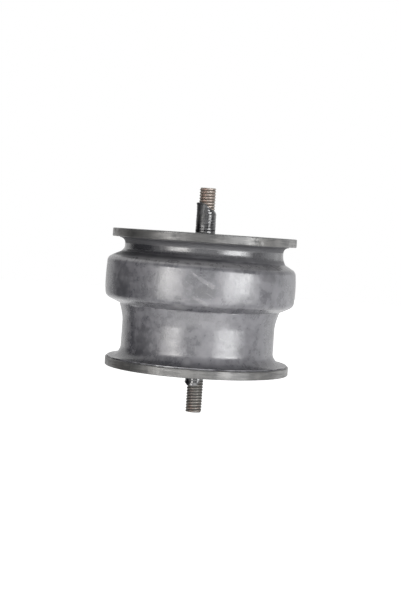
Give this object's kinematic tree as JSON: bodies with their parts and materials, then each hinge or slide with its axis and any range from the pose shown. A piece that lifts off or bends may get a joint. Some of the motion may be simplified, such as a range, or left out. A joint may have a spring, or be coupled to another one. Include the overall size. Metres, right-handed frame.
{
  "type": "bonded rubber engine mount",
  "caption": "Round rubber-to-metal bonded mount: a banded rubber body between steel discs, with a threaded stud on each side that bolts an engine to its frame and damps vibration.",
  "frame": {"origin": "centre of the lower plate's seating face", "axes": "+Z along the stud axis towards the upper stud, -Y towards the camera of the picture"},
  "size_m": [0.0929, 0.0928, 0.11],
  "materials": {
    "plate_steel": "dull dark grey steel with streaks",
    "stud_steel": "thread steel with brown rust",
    "body_rubber": "satin moulded rubber, scuffed",
    "skin_rubber": "glossy torn rubber skin"
  },
  "bodies": {
    "root": {"upper_plate": "plate_steel", "lower_plate": "plate_steel", "upper_stud": "stud_steel", "lower_stud": "stud_steel", "rubber_body": "body_rubber", "upper_stud_skin": "skin_rubber", "lower_stud_skin": "skin_rubber"}
  },
  "joints": []
}
